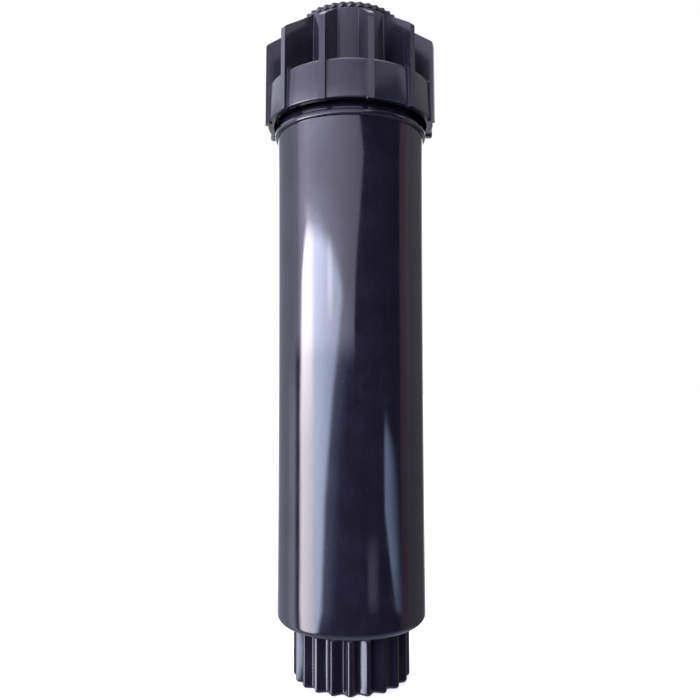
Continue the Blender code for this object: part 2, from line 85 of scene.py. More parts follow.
def split(outline, steps):
    """The outline with the run after each point of a tag cut up: steps is {tag: longest step}, for runs whose both ends have it."""
    out = []
    count = len(outline)
    for i, (r, z, tag) in enumerate(outline):
        out.append((r, z, tag))
        r2, z2, tag2 = outline[(i + 1) % count]
        length = math.hypot(r2 - r, z2 - z)
        if tag and tag == tag2 and length > steps.get(tag, 1e9):
            cuts = math.ceil(length / steps[tag])
            out += [(r + (r2 - r) * k / cuts, z + (z2 - z) * k / cuts, tag) for k in range(1, cuts)]
    return out


def outward(mesh):
    """Turns the faces round if they point inwards."""
    fix = bmesh.new()
    fix.from_mesh(mesh)
    if fix.calc_volume(signed=True) < 0:
        bmesh.ops.reverse_faces(fix, faces=fix.faces)
        fix.to_mesh(mesh)
    fix.free()


def shaded(made, degrees=35.0):
    made.data.shade_smooth()
    made.data.set_sharp_from_angle(angle=math.radians(degrees))
    return made


def mesh_object(name, verts, faces, degrees=35.0):
    mesh = bpy.data.meshes.new(name)
    mesh.from_pydata([tuple(v) for v in verts], [], faces)
    outward(mesh)
    made = bpy.data.objects.new(name, mesh)
    bpy.context.scene.collection.objects.link(made)
    return shaded(made, degrees)


def loft(name, outline, sides, shape=None, steps=None, arc=5, degrees=35.0):
    """Turns the outline round the Z axis. shape(r, z, turn, tag) gives the moved (r, z), for each tag there is.
    sides is a count, or the angles themselves, in radians."""
    line = split(filleted(outline, arc), steps or {})
    tags = np.array([p[2] for p in line])
    turn = np.arange(sides) / sides * TAU if isinstance(sides, int) else np.array(sides)
    sides = len(turn)
    r = np.repeat(np.array([p[0] for p in line], float)[:, None], sides, 1)
    z = np.repeat(np.array([p[1] for p in line], float)[:, None], sides, 1)
    turns = np.repeat(turn[None, :], len(line), 0)
    if shape:
        for tag in sorted(set(tags) - {""}):
            rows = tags == tag
            r[rows], z[rows] = shape(r[rows], z[rows], turns[rows], tag)
    verts = np.stack([r * np.cos(turns), r * np.sin(turns), z], -1).reshape(-1, 3) * MM
    rings = len(line)
    i, j = np.meshgrid(np.arange(rings), np.arange(sides), indexing="ij")
    across, up = (j + 1) % sides, (i + 1) % rings
    faces = np.stack([i * sides + j, up * sides + j, up * sides + across, i * sides + across], -1)
    return mesh_object(name, verts, faces.reshape(-1, 4).tolist(), degrees)


def ease(x, low, high):
    """0 below low, 1 above high, smooth between."""
    t = np.clip((x - low) / (high - low), 0.0, 1.0)
    return t * t * (3 - 2 * t)


def ridge(distance, base, tip):
    """A thread's cross-section: 1 on a tip this wide and 0 outside the base, with softened corners."""
    t = np.clip((base / 2 - np.abs(distance)) / ((base - tip) / 2), 0.0, 1.0)
    return t * t * (3 - 2 * t) * 0.4 + t * 0.6


def helix(z, turn, start_z, pitch, turns, lead, base, tip, taper=0.06):
    """How much of a right-hand thread's height stands at each point."""
    total = np.zeros_like(z)
    for k in range(int(math.ceil(turns)) + 1):
        along = turn / TAU - lead / 360.0
        along = along - np.floor(along) + k  # turns since the thread's start
        fade = ease(along, 0.0, taper) * (1 - ease(along, turns - taper, turns))
        total = np.maximum(total, ridge(z - start_z - pitch * along, base, tip) * fade)
    return total


def flute(turn, count, phase, crest=0.07, valley=0.07, soften=0.05):
    """1 on a crest and 0 in a valley, with straight flanks and rounded corners. The flats are shares of the pitch."""
    share = (turn / TAU - phase / 360.0) * count % 1.0
    raw = np.zeros_like(share)
    shifts = np.linspace(-soften, soften, 9)
    for shift in shifts:
        off = (share + shift) % 1.0
        off = np.minimum(off, 1 - off)
        raw += np.clip((0.5 - valley - off) / (0.5 - valley - crest), 0, 1)
    return raw / len(shifts)


def closed_axis(made):
    """Welds the points that an outline put on the axis, so that a solid piece has no hole down its middle."""
    weld = bmesh.new()
    weld.from_mesh(made.data)
    bmesh.ops.remove_doubles(weld, verts=weld.verts, dist=1e-6)
    weld.to_mesh(made.data)
    weld.free()
    return made


def boxes(name, spans, turns, bevel=0.0):
    """Rounded blocks: each (r0, r1, width, z0, z1) stands on the radius at every one of the angles, in degrees."""
    whole = bmesh.new()
    for r0, r1, width, z0, z1 in spans:
        for degrees in turns:
            block = bmesh.new()
            place = Matrix.Translation(Vector(((r0 + r1) / 2, 0, (z0 + z1) / 2)) * MM)
            size = Matrix.Diagonal(((r1 - r0) * MM, width * MM, (z1 - z0) * MM, 1))
            bmesh.ops.create_cube(block, size=1.0, matrix=place @ size)
            if bevel:
                bmesh.ops.bevel(block, geom=block.edges[:], offset=bevel * MM, segments=3, affect="EDGES", profile=0.5)
            bmesh.ops.rotate(block, verts=block.verts, matrix=Matrix.Rotation(math.radians(degrees), 3, "Z"))
            mesh = bpy.data.meshes.new(name)
            block.to_mesh(mesh)
            block.free()
            whole.from_mesh(mesh)
            bpy.data.meshes.remove(mesh)
    bmesh.ops.recalc_face_normals(whole, faces=whole.faces)
    mesh = bpy.data.meshes.new(name)
    whole.to_mesh(mesh)
    whole.free()
    made = bpy.data.objects.new(name, mesh)
    bpy.context.scene.collection.objects.link(made)
    return made


def swept(name, path, radius, sides=12, degrees=60.0):
    """A round wire along the points of a path, with domed ends."""
    path = np.array(path, float)
    ahead = np.gradient(path, axis=0)
    ahead /= np.linalg.norm(ahead, axis=1)[:, None]
    up = np.array([0.0, 0.0, 1.0])
    side = np.cross(ahead, up)
    side /= np.linalg.norm(side, axis=1)[:, None]
    over = np.cross(side, ahead)
    centres, radii, lean = [], [], []
    for k in range(4):  # dome at the start
        turn = math.pi / 2 * k / 4
        centres.append(path[0] - ahead[0] * radius * math.cos(turn))
        radii.append(radius * math.sin(turn))
        lean.append(0)
    for k in range(len(path)):
        centres.append(path[k])
        radii.append(radius)
        lean.append(k)
    for k in range(3, -1, -1):
        turn = math.pi / 2 * k / 4
        centres.append(path[-1] + ahead[-1] * radius * math.cos(turn))
        radii.append(radius * math.sin(turn))
        lean.append(len(path) - 1)
    verts = [tuple(centres[0])]
    for centre, reach, k in list(zip(centres, radii, lean))[1:-1]:
        for j in range(sides):
            turn = TAU * j / sides
            verts.append(tuple(centre + reach * (math.cos(turn) * side[k] + math.sin(turn) * over[k])))
    verts.append(tuple(centres[-1]))
    faces = [(0, 1 + (j + 1) % sides, 1 + j) for j in range(sides)]
    rings = len(centres) - 2
    for i in range(rings - 1):
        for j in range(sides):
            a, b = 1 + i * sides + j, 1 + i * sides + (j + 1) % sides
            faces.append((a, b, b + sides, a + sides))
    last = len(verts) - 1
    faces += [(last, last - sides + j, last - sides + (j + 1) % sides) for j in range(sides)]
    return mesh_object(name, np.array(verts) * MM, faces, degrees)


def applied(target, other, operation):
    """target with the Boolean made part of its mesh, and other removed."""
    cut = target.modifiers.new("cut", "BOOLEAN")
    cut.operation = operation
    cut.solver = "EXACT"
    cut.object = other
    bpy.context.view_layer.update()
    graph = bpy.context.evaluated_depsgraph_get()
    mesh = bpy.data.meshes.new_from_object(target.evaluated_get(graph))
    target.modifiers.clear()
    target.data = mesh
    bpy.data.objects.remove(other, do_unlink=True)
    return target


def merged(name, shapes):
    """Several meshes as one object, not joined as solids."""
    whole = bmesh.new()
    for made in shapes:
        whole.from_mesh(made.data)
    mesh = bpy.data.meshes.new(name)
    whole.to_mesh(mesh)
    whole.free()
    for made in shapes:
        bpy.data.objects.remove(made, do_unlink=True)
    made = bpy.data.objects.new(name, mesh)
    bpy.context.scene.collection.objects.link(made)
    return made


def fit(made, body, node, material):
    """Puts a fine piece on its body in place of its CAD node, with its finish."""
    made.data.materials.clear()
    made.data.materials.append(material)
    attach(made, body)
    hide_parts(node)
    return made


# ------------------------------------------------------------------------------------------------------
# case body: one closed loft, from the threaded neck down the tube and the fluted inlet collar, and back up
# through the pipe thread and the ribbed bore
# ------------------------------------------------------------------------------------------------------
TUBE_R = 20.0
COLLAR_CREST, COLLAR_VALLEY, COLLAR_FLUTES, COLLAR_PHASE = 15.6, 14.15, 21, -91.2
UNDERSIDE_Z = 14.9
BEAD_R = 21.0


def case_shape(r, z, turn, tag):
    if tag == "neck":
        r = r + 1.0 * helix(z, turn, 149.9, 4.0, 1.1, 3.0, 1.8, 0.85)
    elif tag == "flutes":
        r = r - (COLLAR_CREST - COLLAR_VALLEY) * (1 - flute(turn, COLLAR_FLUTES, COLLAR_PHASE, 0.07, 0.07, 0.038))
    elif tag == "pipe":
        r = r - 1.1 * helix(z, turn, 1.9, 1.814, 5.0, 5.0, 1.6, 0.25, 0.12)
    elif tag == "bore":
        share = (turn / TAU * 6 - 30 / 60.0) % 1.0
        off = np.minimum(share, 1 - share) / 6 * TAU * 18.1  # distance from a rib's middle, along the wall
        rib = 1 - ease(off, 0.62, 1.0)
        ends = ease(z, 20.6, 21.4) * (1 - ease(z, 147.5, 149.5))
        r = r - 1.1 * rib * ends
    return r, z


def tube_r(z):
    """The tube's radius: it swells a little towards both ends, as a moulded tube does."""
    return TUBE_R + 0.2 * max(0.0, (z - 80.0) / 66.0) ** 2 + 0.1 * max(0.0, (50.0 - z) / 33.0) ** 2


case_outline = (
    [(19.9, 155.6, 0.35, "neck"), (19.9, 147.62, 0.25, "neck"), (BEAD_R, 147.62, 0.5), (BEAD_R, 146.0, 0.42)]
    + [(tube_r(146.0), 146.0, 0.12)]
    + [(tube_r(z), z, 3.0) for z in (136.0, 124.0, 110.0, 94.0, 78.0, 56.0, 42.0, 30.0, 22.0)]
    + [
        (tube_r(17.0), UNDERSIDE_Z, 1.95),
        (13.6, UNDERSIDE_Z),
        (13.6, 0.5),
        (10.8, 0.5, 0.1),
        (10.5, 0.9, 0.1, "pipe"),
        (10.5, 13.6, 0.15, "pipe"),
        (8.0, 13.6, 0.25),
        (8.0, 17.0, 0.4),
        (18.1, 17.0, 1.6, "bore"),
        (18.1, 155.6, 0.3, "bore"),
    ]
)
case_body = loft(
    "case_body_fine", case_outline, 288, case_shape, {"neck": 0.24, "pipe": 0.24, "bore": 8.0}, arc=6
)
collar_outline = [
    (18.4, 15.3, 0.0, "flutes"),
    (COLLAR_CREST, 14.6, 2.2, "flutes"),
    (COLLAR_CREST, 0.55, 0.5, "flutes"),
    (COLLAR_CREST - 0.35, 0.0, 0.2, "flutes"),
    (11.5, 0.0, 0.25),
    (11.5, 15.9),
]
corner = np.array([-0.045, -0.03, -0.015, 0.0, 0.015, 0.03, 0.045])
per_flute = np.concatenate([[0.0], 0.07 + corner, 0.43 + corner, [0.5], 0.57 + corner, 0.93 + corner])
flute_turns = (np.arange(COLLAR_FLUTES)[:, None] + per_flute[None, :]).ravel() / COLLAR_FLUTES * TAU
flutes = loft(
    "flutes", collar_outline, flute_turns + math.radians(COLLAR_PHASE), case_shape, {"flutes": 5.0}, arc=6
)
case_body = shaded(applied(case_body, flutes, "UNION"), 32.0)

# ------------------------------------------------------------------------------------------------------
# cap: skirt, plate, drafted column and cup as one loft, with twelve radial fins joined on
# ------------------------------------------------------------------------------------------------------
SKIRT_TOP_Z = 159.95
COLUMN_R, LIP_R, LIP_Z = 14.4, 13.95, 177.5
FINS, FIN_PHASE, FIN_HALF = 12, 12.6, 0.8


def column_r(z):
    return COLUMN_R + (LIP_R - COLUMN_R) * (z - SKIRT_TOP_Z) / (LIP_Z - SKIRT_TOP_Z)


def cap_shape(r, z, turn, tag):
    return r - 1.05 * helix(z, turn, 151.9, 4.0, 1.1, 3.0, 1.8, 0.85), z


cap_outline = (
    [(LIP_R, LIP_Z, 0.25)]
    + [(column_r(z), z) for z in (175.0, 171.0, 167.0, 163.0)]
    + [
        (COLUMN_R, SKIRT_TOP_Z, 0.5),
        (22.8, SKIRT_TOP_Z, 1.1),
        (23.05, 149.45, 0.3),
        (21.35, 149.45, 0.45),
        (21.35, 149.95, 0.0, "thread"),
        (21.35, 158.3, 0.3, "thread"),
        (9.9, 158.3, 0.3),
        (9.9, 167.7, 0.2),
        (8.5, 167.7, 0.3),
        (8.5, 169.1, 0.35),
        (10.2, 169.1, 0.2),
        (10.2, LIP_Z, 0.5),
    ]
)
cap = loft("cap_fine", cap_outline, 240, cap_shape, {"thread": 0.3}, arc=5)


def root(distance, radius):
    """How far a fillet of this radius stands out at a distance from the wall it runs into."""
    d = np.clip(distance, 0.0, radius)
    return radius - np.sqrt(np.maximum(radius * radius - (radius - d) ** 2, 0.0))


def edge(distance, radius):
    """How far a rounded edge falls back at a distance inside it."""
    d = np.clip(distance, 0.0, radius)
    return radius - np.sqrt(np.maximum(radius * radius - (radius - d) ** 2, 0.0))


def fin_out(z):
    """The fin's outer edge: a slight draft up the side, a small nose, then the slope up to the column's lip."""
    line = [(149.05, 23.9), (170.35, 23.76), (170.75, 23.68), (171.05, 23.5), (171.3, 23.2), (177.4, 13.8)]
    return float(np.interp(z, [p[0] for p in line], [p[1] for p in line]))


def body_r(z):
    """The radius at which the fin meets the cap's body."""
    if z > SKIRT_TOP_Z - 0.04:
        lift = z - SKIRT_TOP_Z
        foot = 0.5 - math.sqrt(max(0.0, 0.25 - (0.5 - lift) ** 2)) if lift < 0.5 else 0.0
        return column_r(z) + max(0.0, foot)
    return 23.05 - 0.25 * (z - 149.45) / 10.5


def fin_root(z, body, out):
    """The radius of the fin's root fillet: slight on the skirt, fuller on the column."""
    return 0.12 if z < SKIRT_TOP_Z - 0.04 else min(0.18, max(0.1, 0.45 * (out - body)))


def fin():
    """One fin in the XZ plane: a plate of rounded edges and filleted roots, as two fields of half-thickness."""
    low, high = 149.05, 177.4
    heights = [low + d for d in (0.0, 0.04, 0.1, 0.18, 0.28)]
    heights += list(np.linspace(low + 1.0, 158.9, 9)) + [159.2, 159.6, 159.85]
    heights += [SKIRT_TOP_Z + d for d in (-0.03, 0.03, 0.08, 0.15, 0.25, 0.36, 0.5)]
    heights += list(np.linspace(161.2, 169.8, 10)) + [170.35, 170.55, 170.75, 170.9, 171.05, 171.18, 171.3]
    heights += list(np.linspace(171.7, 177.0, 14)) + [177.15, 177.28, 177.36, high]
    rows = []
    for z in heights:
        body, out = body_r(z), fin_out(z)
        inner = 22.1 if z < 159.4 else 12.0
        inner = min(inner, body - 0.25)
        fillet = fin_root(z, body, out)
        near = [body + fillet * k for k in (-0.12, 0.04, 0.12, 0.25, 0.45, 0.7, 1.0)]
        far = [out - 0.3 * k for k in (1.0, 0.7, 0.45, 0.25, 0.1, 0.0)]
        if near[-1] > far[0]:
            middle = (near[-1] + far[0]) / 2
            near = [min(v, middle - 0.002 * (len(near) - i)) for i, v in enumerate(near)]
            far = [max(v, middle + 0.002 * (i + 1)) for i, v in enumerate(far)]
        mid = list(np.linspace(near[-1], far[0], 9)[1:-1])
        rows.append([inner] + near + mid + far)
    rows = np.array(rows)
    z = np.repeat(np.array(heights)[:, None], rows.shape[1], 1)
    body = np.array([body_r(v) for v in heights])[:, None]
    out = np.array([fin_out(v) for v in heights])[:, None]
    slope = np.where(z > 171.2, math.sin(math.atan2(6.1, 9.4)), 1.0)
    rim = np.minimum(np.maximum(out - rows, 0.0) * slope, z - low)
    rim = np.minimum(rim, np.where(rows > 13.0, 9.0, high - z))
    half = FIN_HALF - edge(rim, 0.3)
    fillet = np.array([fin_root(v, body_r(v), fin_out(v)) for v in heights])[:, None]
    half = half + root(rows - body, fillet) * (rows - body < fillet)
    plate = root(np.maximum(z - SKIRT_TOP_Z, 0.0), 0.5) * (1 - ease(rows, 22.0, 22.7)) * (z > SKIRT_TOP_Z - 0.04)
    half = np.maximum(half, FIN_HALF + plate * (rows < 22.7))
    count_z, count_r = rows.shape
    verts = [(r, h, v) for r, h, v in zip(rows.ravel(), half.ravel(), z.ravel())]
    verts += [(r, -h, v) for r, h, v in zip(rows.ravel(), half.ravel(), z.ravel())]
    back = count_z * count_r
    faces = []
    for i in range(count_z - 1):
        for j in range(count_r - 1):
            a = i * count_r + j
            faces.append((a, a + 1, a + count_r + 1, a + count_r))
            faces.append((back + a, back + a + count_r, back + a + count_r + 1, back + a + 1))
    for i in range(count_z - 1):
        for j in (0, count_r - 1):
            a = i * count_r + j
            faces.append((a, a + count_r, back + a + count_r, back + a))
    for j in range(count_r - 1):
        for i in (0, count_z - 1):
            a = i * count_r + j
            faces.append((a, back + a, back + a + 1, a + 1))
    return np.array(verts), faces


fin_verts, fin_faces = fin()
shape = bmesh.new()
for k in range(FINS):
    turn = math.radians(FIN_PHASE + 360.0 * k / FINS)
    c, s = math.cos(turn), math.sin(turn)
    made = [shape.verts.new(((x * c - y * s) * MM, (x * s + y * c) * MM, z * MM)) for x, y, z in fin_verts]
    for face in fin_faces:
        shape.faces.new([made[i] for i in face])
bmesh.ops.recalc_face_normals(shape, faces=shape.faces)
fin_mesh = bpy.data.meshes.new("cap_fins")
shape.to_mesh(fin_mesh)
shape.free()
cap_fins = bpy.data.objects.new("cap_fins", fin_mesh)
bpy.context.scene.collection.objects.link(cap_fins)
cap = applied(cap, cap_fins, "UNION")
shaded(cap, 30.0)

# ------------------------------------------------------------------------------------------------------
# nozzle: knurled arc collar, deflector, slotted radius screw and the base they stand in
# ------------------------------------------------------------------------------------------------------
KNURLS, KNURL_PHASE, RING_R, RING_VALLEY = 36, -88.7, 13.9, 13.25


def ring_shape(r, z, turn, tag):
    if tag == "knurl":
        r = r - (RING_R - RING_VALLEY) * (1 - flute(turn, KNURLS, KNURL_PHASE, 0.05, 0.08, 0.12))
    elif tag == "top":
        off = np.abs((turn + math.pi) % TAU - math.pi) * r
        mark = (1 - ease(off, 0.24, 0.36)) * ease(r, 10.3, 10.5) * (1 - ease(r, 12.8, 13.0))
        z = z + 0.3 * mark
    return r, z


knurl_turns = (np.arange(KNURLS * 12) / (KNURLS * 12) * TAU + math.radians(KNURL_PHASE)) % TAU
mark_turns = np.array([v for w in (0.2, 0.26, 0.3, 0.34, 0.42) for v in (w / 11.7, TAU - w / 11.7)])
arc_collar = loft(
    "arc_collar_fine",
    [(13.1, 179.1, 0.0, "top"), (RING_R, 179.1, 0.28, "knurl"), (RING_R, 177.8, 0.3, "knurl"), (6.2, 177.8, 0.2)]
    + [(6.2, 179.1, 0.2), (10.2, 179.1, 0.0, "top")],
    np.sort(np.concatenate([knurl_turns, mark_turns])),
    ring_shape,
    {"top": 0.1},
    arc=5,
)

deflector = loft(
    "deflector_fine",
    [(2.75, 180.5, 0.2), (6.3, 180.5, 0.2), (6.6, 180.38, 0.15), (9.1, 180.33, 0.3), (9.8, 180.0, 0.18), (9.7, 179.4, 0.15)]
    + [(6.0, 179.5, 0.8), (3.0, 178.8, 0.7), (3.0, 175.2, 0.2), (1.8, 175.2, 0.15), (1.8, 179.3, 0.1), (2.75, 179.3, 0.15)],
    144,
    arc=5,
)


def screw_shape(r, z, turn, tag):
    return r - 0.22 * (1 - helix(z, turn, 165.6, 0.8, 15.5, 0.0, 0.72, 0.08)), z


radius_screw = loft(
    "radius_screw_fine",
    [(0.0, 180.3), (2.05, 180.3, 0.35), (2.4, 179.95, 0.2), (2.4, 179.6, 0.1), (1.5, 179.6, 0.15), (1.5, 178.4, 0.0, "thread")]
    + [(1.5, 165.5, 0.0, "thread"), (1.15, 165.0, 0.12), (0.0, 165.0)],
    40,
    screw_shape,
    {"thread": 0.11},
    arc=4,
)
radius_screw = applied(
    closed_axis(radius_screw), boxes("slot", [(-3.0, 3.0, 0.7, 179.85, 181.0)], [0.0], 0.04), "DIFFERENCE"
)
shaded(radius_screw, 32.0)


def base_shape(r, z, turn, tag):
    return r - 0.55 * helix(z, turn, 170.9, 1.6, 1.3, 4.0, 0.66, 0.36, 0.1), z


nozzle_base = loft(
    "nozzle_base_fine",
    [(7.7, 177.5, 0.12), (7.7, 176.3, 0.12), (9.1, 176.3, 0.12), (9.1, 177.5, 0.12), (9.9, 177.5, 0.22)]
    + [(9.9, 169.4, 0.35), (8.35, 169.4, 0.25), (8.35, 170.2, 0.0, "thread"), (8.35, 174.2, 0.0, "thread")]
    + [(8.35, 175.1, 0.2), (3.3, 175.1, 0.12), (3.3, 177.5, 0.12)],
    120,
    base_shape,
    {"thread": 0.14},
    arc=4,
)
shape = bmesh.new()
for k in range(6):
    turn = math.radians(10.0 + 60.0 * k)
    place = Matrix.Translation(Vector((4.7 * math.cos(turn), 4.7 * math.sin(turn), 176.5)) * MM)
    bmesh.ops.create_cone(
        shape, cap_ends=True, segments=24, radius1=0.85 * MM, radius2=0.85 * MM, depth=4 * MM, matrix=place
    )
hole_mesh = bpy.data.meshes.new("orifices")
shape.to_mesh(hole_mesh)
shape.free()
orifices = bpy.data.objects.new("orifices", hole_mesh)
bpy.context.scene.collection.objects.link(orifices)
nozzle_base = shaded(applied(nozzle_base, orifices, "DIFFERENCE"), 32.0)

nozzle_washer = loft(
    "nozzle_washer_fine", [(7.9, 174.8, 0.2), (7.9, 174.2, 0.2), (6.3, 174.2, 0.2), (6.3, 174.8, 0.2)], 96
)
collar_o_ring = loft(
    "collar_o_ring_fine",
    [(8.4 + 0.4 * math.sin(TAU * k / 18), 177.05 + 0.4 * math.cos(TAU * k / 18)) for k in range(18)],
    120,
    degrees=60.0,
)

# ------------------------------------------------------------------------------------------------------
# riser: threaded stem, ratchet, guide, filter and throttle nut
# ------------------------------------------------------------------------------------------------------


def stem_shape(r, z, turn, tag):
    return r + 0.6 * helix(z, turn, 170.1, 1.6, 1.3, 4.0, 0.66, 0.36, 0.1), z


riser_stem = loft(
    "riser_stem_fine",
    [(7.35, 172.9, 0.3), (7.35, 172.4, 0.0, "thread"), (7.35, 169.7, 0.0, "thread"), (7.35, 169.2, 0.15), (8.0, 168.7, 0.25)]
    + [(8.0, 140.0), (8.0, 90.0), (8.0, 50.0), (8.0, 23.0, 0.5), (10.6, 23.0, 0.2), (10.6, 21.5, 0.4), (6.75, 21.5, 0.3)]
    + [(6.6, 22.3, 0.3), (6.6, 172.9, 0.2)],
    144,
    stem_shape,
    {"thread": 0.13},
    arc=5,
)

TEETH = 12


def saw(turn):
    """The share of the way along each ratchet tooth."""
    return turn / TAU * TEETH % 1.0


def guide_shape(r, z, turn, tag):
    share = saw(turn)
    low = np.minimum(29.6, 30.0 - 1.25 * share / 0.92)
    return r, np.where(share < 0.93, low, 29.6)


def ratchet_shape(r, z, turn, tag):
    share = saw(turn)
    high = np.maximum(27.6, 27.2 + 1.2 * share / 0.92)
    return r, np.where(share < 0.93, high, 27.6)


tooth_turns = np.array([0, 0.1, 0.2, 0.3, 0.4, 0.5, 0.6, 0.7, 0.8, 0.88, 0.92, 0.9299, 0.935, 0.97])
tooth_turns = ((np.arange(TEETH)[:, None] + tooth_turns[None, :]) / TEETH * TAU).ravel()
ratchet_guide = loft(
    "ratchet_guide_fine",
    [(17.6, 34.0, 0.4), (17.6, 28.2, 0.4), (16.0, 28.2, 0.25), (16.0, 31.6, 0.5), (13.0, 31.6, 0.3), (13.0, 29.6, 0.2)]
    + [(12.62, 29.6), (12.6, 29.6, 0.0, "teeth"), (9.0, 29.6, 0.0, "teeth"), (8.98, 29.6), (8.5, 29.6, 0.15), (8.5, 34.0, 0.3)],
    tooth_turns,
    guide_shape,
    arc=4,
)
notches = boxes("notches", [(16.6, 19.0, 2.4, 27.0, 36.0)], [30.0 + 60.0 * k for k in range(6)], 0.25)
ratchet_guide = shaded(applied(ratchet_guide, notches, "DIFFERENCE"), 32.0)
riser_ratchet = loft(
    "riser_ratchet_fine",
    [(8.35, 27.6, 0.15), (8.98, 27.6), (9.0, 27.6, 0.0, "teeth"), (12.5, 27.6, 0.0, "teeth"), (12.52, 27.6)]
    + [(12.9, 27.6, 0.25), (12.9, 23.3, 0.35), (8.35, 23.3, 0.2)],
    tooth_turns,
    ratchet_shape,
    arc=4,
)

filter_frame = loft(
    "filter_frame_fine",
    [(7.6, 173.9, 0.2), (7.6, 173.2, 0.2), (6.25, 173.2, 0.2), (6.1, 171.5), (6.0, 140.5, 0.45), (3.0, 140.5, 0.2)]
    + [(3.0, 141.5, 0.2), (5.45, 141.5, 0.4), (5.5, 172.1, 0.2), (3.4, 172.1, 0.15), (3.4, 173.9, 0.15)],
    96,
    arc=4,
)
windows = boxes("windows", [(4.9, 7.2, 4.6, 143.5, 170.7)], [0.0, 90.0, 180.0, 270.0], 0.5)
filter_frame = shaded(applied(filter_frame, windows, "DIFFERENCE"), 32.0)


def mesh_tube(name, outer, inner, low, high, columns, rows):
    """A tube of woven mesh: square holes through its wall, with a bar between each two."""
    turns = np.array([(k + d) / columns for k in range(columns) for d in (0.0, 0.4)]) * TAU
    heights = [low]
    for k in range(rows):
        heights += [low + (high - low) * (k + d) / (rows + 0.4) for d in (0.4, 1.0)]
    heights = sorted(set([round(h, 5) for h in heights] + [high]))
    sides, levels = len(turns), len(heights)
    verts = [(r * math.cos(t), r * math.sin(t), z) for r in (outer, inner) for z in heights for t in turns]

    def at(layer, i, j):
        return (layer * levels + i) * sides + j % sides

    def solid(i, j):
        return 0 <= i < levels - 1 and (i % 2 == 0 or j % sides % 2 == 0)

    faces = []
    for i in range(levels - 1):
        for j in range(sides):
            if not solid(i, j):
                continue
            faces.append((at(0, i, j), at(0, i, j + 1), at(0, i + 1, j + 1), at(0, i + 1, j)))
            faces.append((at(1, i, j), at(1, i + 1, j), at(1, i + 1, j + 1), at(1, i, j + 1)))
            if not solid(i - 1, j):
                faces.append((at(0, i, j), at(1, i, j), at(1, i, j + 1), at(0, i, j + 1)))
            if not solid(i + 1, j):
                faces.append((at(0, i + 1, j), at(0, i + 1, j + 1), at(1, i + 1, j + 1), at(1, i + 1, j)))
            if not solid(i, j - 1):
                faces.append((at(0, i, j), at(0, i + 1, j), at(1, i + 1, j), at(1, i, j)))
            if not solid(i, j + 1):
                faces.append((at(0, i, j + 1), at(1, i, j + 1), at(1, i + 1, j + 1), at(0, i + 1, j + 1)))
    return mesh_object(name, np.array(verts) * MM, faces, 40.0)


filter_screen = mesh_tube("filter_screen_fine", 5.15, 4.75, 141.8, 163.5, 36, 24)

throttle_nut = loft(
    "throttle_nut_fine",
    [(2.6, 168.5, 0.3), (4.4, 167.4, 0.25), (4.4, 165.9, 0.2), (1.85, 165.9, 0.1), (1.85, 168.5, 0.1)],
    72,
    arc=4,
)
keys = boxes("keys", [(3.6, 5.75, 2.0, 165.9, 167.2)], [0.0, 180.0], 0.15)
throttle_nut = shaded(applied(throttle_nut, keys, "UNION"), 32.0)

# ------------------------------------------------------------------------------------------------------
# seal pack: wiper seal, retainer, gasket, washers and the coil spring
# ------------------------------------------------------------------------------------------------------
wiper_seal = loft(
    "wiper_seal_fine",
    [(9.5, 167.4, 0.1), (9.6, 167.0, 0.2), (9.6, 163.3, 0.2), (9.5, 162.9, 0.1), (8.6, 162.9, 0.1), (8.3, 163.3, 0.08)]
    + [(8.8, 164.1, 0.3), (8.8, 166.2, 0.3), (8.3, 167.0, 0.08), (8.55, 167.4, 0.1)],
    120,
    arc=4,
)
seal_retainer = loft(
    "seal_retainer_fine",
    [(9.3, 162.6, 0.1), (9.55, 162.3, 0.1), (9.55, 158.0, 0.6), (19.6, 158.0, 0.25), (19.6, 156.9, 0.25), (17.7, 156.9, 0.3)]
    + [(17.7, 152.4, 0.1), (17.4, 152.0, 0.15), (16.5, 152.0, 0.15), (16.5, 156.9, 0.4), (8.4, 156.9, 0.25), (8.4, 162.6, 0.15)],
    144,
    arc=4,
)
cap_gasket = loft(
    "cap_gasket_fine", [(19.5, 156.6, 0.2), (19.5, 155.9, 0.2), (18.2, 155.9, 0.2), (18.2, 156.6, 0.2)], 144
)
upper_spring_washer = loft(
    "upper_spring_washer_fine", [(14.2, 156.6, 0.2), (14.2, 155.6, 0.2), (9.0, 155.6, 0.2), (9.0, 156.6, 0.2)], 120
)
lower_spring_washer = loft(
    "lower_spring_washer_fine", [(14.2, 35.3, 0.2), (14.2, 34.3, 0.2), (8.4, 34.3, 0.2), (8.4, 35.3, 0.2)], 120
)


def coil():
    """The spring's centre line: a closed turn at each end and an even pitch between."""
    wire, turns, per_turn, ends = 0.65, 12.5, 40, 2 * 0.65 + 0.15
    low, high = 35.6 + wire, 155.3 - wire
    pitch = (high - low - 2 * ends) / (turns - 2)
    points = []
    for i in range(round(turns * per_turn) + 1):
        at = i / per_turn
        first, last = min(at, 1.0), max(0.0, at - (turns - 1.0))
        z = low + ends * first + pitch * (at - first - last) + ends * last
        points.append((11.6 * math.cos(TAU * at), 11.6 * math.sin(TAU * at), z))
    return points


retract_spring = swept("retract_spring_fine", coil(), 0.65, 12)

# ------------------------------------------------------------------------------------------------------
# materials: every one varies in tone, gloss and fine relief, in the object's own coordinates
# ------------------------------------------------------------------------------------------------------


